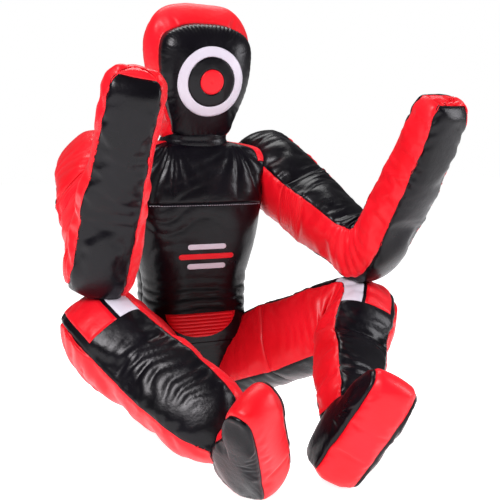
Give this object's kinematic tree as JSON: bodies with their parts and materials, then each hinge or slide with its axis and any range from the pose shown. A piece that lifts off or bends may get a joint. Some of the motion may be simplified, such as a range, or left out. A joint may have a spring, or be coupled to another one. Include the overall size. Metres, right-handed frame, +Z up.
{
  "type": "seated grappling dummy",
  "caption": "Seated stuffed grappling dummy with bent arms and legs, a hooded head with a round target, jointed limbs and a back zip for filling it.",
  "frame": {"origin": "on the floor between the hips, under the trunk's mid line", "axes": "+Z up, the dummy faces -Y, +X is its left side"},
  "size_m": [0.7886, 0.7487, 0.943],
  "materials": {
    "black_vinyl": "glossy soft synthetic leather, black, with broad wrinkles",
    "red_vinyl": "glossy soft synthetic leather, bright red",
    "white_print": "white print on synthetic leather",
    "filling": "shredded textile stuffing",
    "zip_tape": "woven polyester zip tape",
    "zip_coil": "nylon zip coil",
    "zip_metal": "nickel-plated zip slider"
  },
  "bodies": {
    "trunk": {"chest_panel": "black_vinyl", "groin_panel": "red_vinyl", "joint_fillings": "filling", "left_back_panel": "black_vinyl", "ribbed_belly_panel": "red_vinyl", "right_back_panel": "black_vinyl", "seat_panel": "black_vinyl", "shoulder_strips": "red_vinyl", "trunk_filling": "filling", "yoke_panel": "black_vinyl", "zip_coils": "zip_coil", "zip_tapes": "zip_tape"},
    "neck": {"neck_filling": "filling", "neck_sleeve": "black_vinyl"},
    "head": {"face_panel": "black_vinyl", "head_back_panel": "black_vinyl", "head_filling": "filling", "head_gusset_band": "red_vinyl", "target_black_ring": "black_vinyl", "target_red_disc": "red_vinyl", "target_white_ring": "white_print"},
    "zip_slider": {"zip_slider": "zip_metal"},
    "zip_pull": {"zip_pull": "zip_metal"},
    "left_upper_arm": {"left_upper_arm_black_panels": "black_vinyl", "left_upper_arm_filling": "filling", "left_upper_arm_red_panels": "red_vinyl"},
    "left_forearm": {"left_forearm_filling": "filling", "left_forearm_inner_panel": "black_vinyl", "left_forearm_outer_panel": "black_vinyl", "left_forearm_red_band": "red_vinyl"},
    "left_thigh": {"left_thigh_black_panels": "black_vinyl", "left_thigh_filling": "filling", "left_thigh_lateral_gusset": "red_vinyl", "left_thigh_medial_gusset": "red_vinyl"},
    "left_shin": {"left_shin_back_panel": "black_vinyl", "left_shin_filling": "filling", "left_shin_front_panel": "black_vinyl", "left_shin_gussets": "red_vinyl"},
    "left_foot": {"left_foot_filling": "filling", "left_foot_side_panels": "black_vinyl", "left_foot_sole_band": "red_vinyl"},
    "right_upper_arm": {"right_upper_arm_black_panels": "black_vinyl", "right_upper_arm_filling": "filling", "right_upper_arm_red_panels": "red_vinyl"},
    "right_forearm": {"right_forearm_filling": "filling", "right_forearm_inner_panel": "black_vinyl", "right_forearm_outer_panel": "black_vinyl", "right_forearm_red_band": "red_vinyl"},
    "right_thigh": {"right_thigh_black_panels": "black_vinyl", "right_thigh_filling": "filling", "right_thigh_lateral_gusset": "red_vinyl", "right_thigh_medial_gusset": "red_vinyl"},
    "right_shin": {"right_shin_back_panel": "black_vinyl", "right_shin_filling": "filling", "right_shin_front_panel": "black_vinyl", "right_shin_gussets": "red_vinyl"},
    "right_foot": {"right_foot_filling": "filling", "right_foot_side_panels": "black_vinyl", "right_foot_sole_band": "red_vinyl"}
  },
  "joints": [
    {"name": "neck_nod", "type": "hinge", "parent": "trunk", "child": "neck", "pos_m": [0, -0.004, 0.65], "axis": [1, 0, 0], "range_deg": [-14, 16], "stiffness_Nm_per_rad": 60},
    {"name": "head_turn", "type": "hinge", "parent": "neck", "child": "head", "pos_m": [0, -0.014, 0.728], "axis": [0, -0.2419, 0.9703], "range_deg": [-25, 25], "stiffness_Nm_per_rad": 30},
    {"name": "left_shoulder_lift", "type": "hinge", "parent": "trunk", "child": "left_upper_arm", "pos_m": [0.208, 0.016, 0.582], "axis": [-0.9545, -0.2967, -0.0291], "range_deg": [0, 30], "stiffness_Nm_per_rad": 200},
    {"name": "left_elbow_bend", "type": "hinge", "parent": "left_upper_arm", "child": "left_forearm", "pos_m": [0.304, -0.276, 0.41], "axis": [-0.9545, -0.2967, -0.0291], "range_deg": [-30, 15], "stiffness_Nm_per_rad": 80},
    {"name": "left_hip_spread", "type": "hinge", "parent": "trunk", "child": "left_thigh", "pos_m": [0.104, 0.014, 0.122], "axis": [0, 0, 1], "range_deg": [0, 15], "stiffness_Nm_per_rad": 200},
    {"name": "left_knee_straighten", "type": "hinge", "parent": "left_thigh", "child": "left_shin", "pos_m": [0.306, -0.256, 0.27], "axis": [-0.6237, -0.0387, 0.7807], "range_deg": [0, 30], "stiffness_Nm_per_rad": 120},
    {"name": "left_ankle_flex", "type": "hinge", "parent": "left_shin", "child": "left_foot", "pos_m": [0.132, -0.478, 0.12], "axis": [-0.8402, 0.2295, 0.4912], "range_deg": [-6, 12], "stiffness_Nm_per_rad": 30},
    {"name": "right_shoulder_lift", "type": "hinge", "parent": "trunk", "child": "right_upper_arm", "pos_m": [-0.216, 0.024, 0.582], "axis": [-0.9718, 0.1798, 0.1525], "range_deg": [0, 30], "stiffness_Nm_per_rad": 200},
    {"name": "right_elbow_bend", "type": "hinge", "parent": "right_upper_arm", "child": "right_forearm", "pos_m": [-0.298, -0.27, 0.406], "axis": [-0.9718, 0.1798, 0.1525], "range_deg": [-30, 15], "stiffness_Nm_per_rad": 80},
    {"name": "right_hip_spread", "type": "hinge", "parent": "trunk", "child": "right_thigh", "pos_m": [-0.104, 0.014, 0.122], "axis": [0, 0, -1], "range_deg": [0, 15], "stiffness_Nm_per_rad": 200},
    {"name": "right_knee_straighten", "type": "hinge", "parent": "right_thigh", "child": "right_shin", "pos_m": [-0.286, -0.258, 0.264], "axis": [-0.6588, 0.0489, -0.7507], "range_deg": [0, 30], "stiffness_Nm_per_rad": 120},
    {"name": "right_ankle_flex", "type": "hinge", "parent": "right_shin", "child": "right_foot", "pos_m": [-0.134, -0.482, 0.116], "axis": [-0.8693, -0.1992, -0.4523], "range_deg": [-6, 12], "stiffness_Nm_per_rad": 30},
    {"name": "zip_slide", "type": "slide", "parent": "trunk", "child": "zip_slider", "axis": [0, 0, -1], "range_m": [0, 0.225]},
    {"name": "zip_pull_swing", "type": "hinge", "parent": "zip_slider", "child": "zip_pull", "pos_m": [0, 0.1072, 0.4735], "axis": [1, 0, 0], "range_deg": [0, 150]}
  ]
}
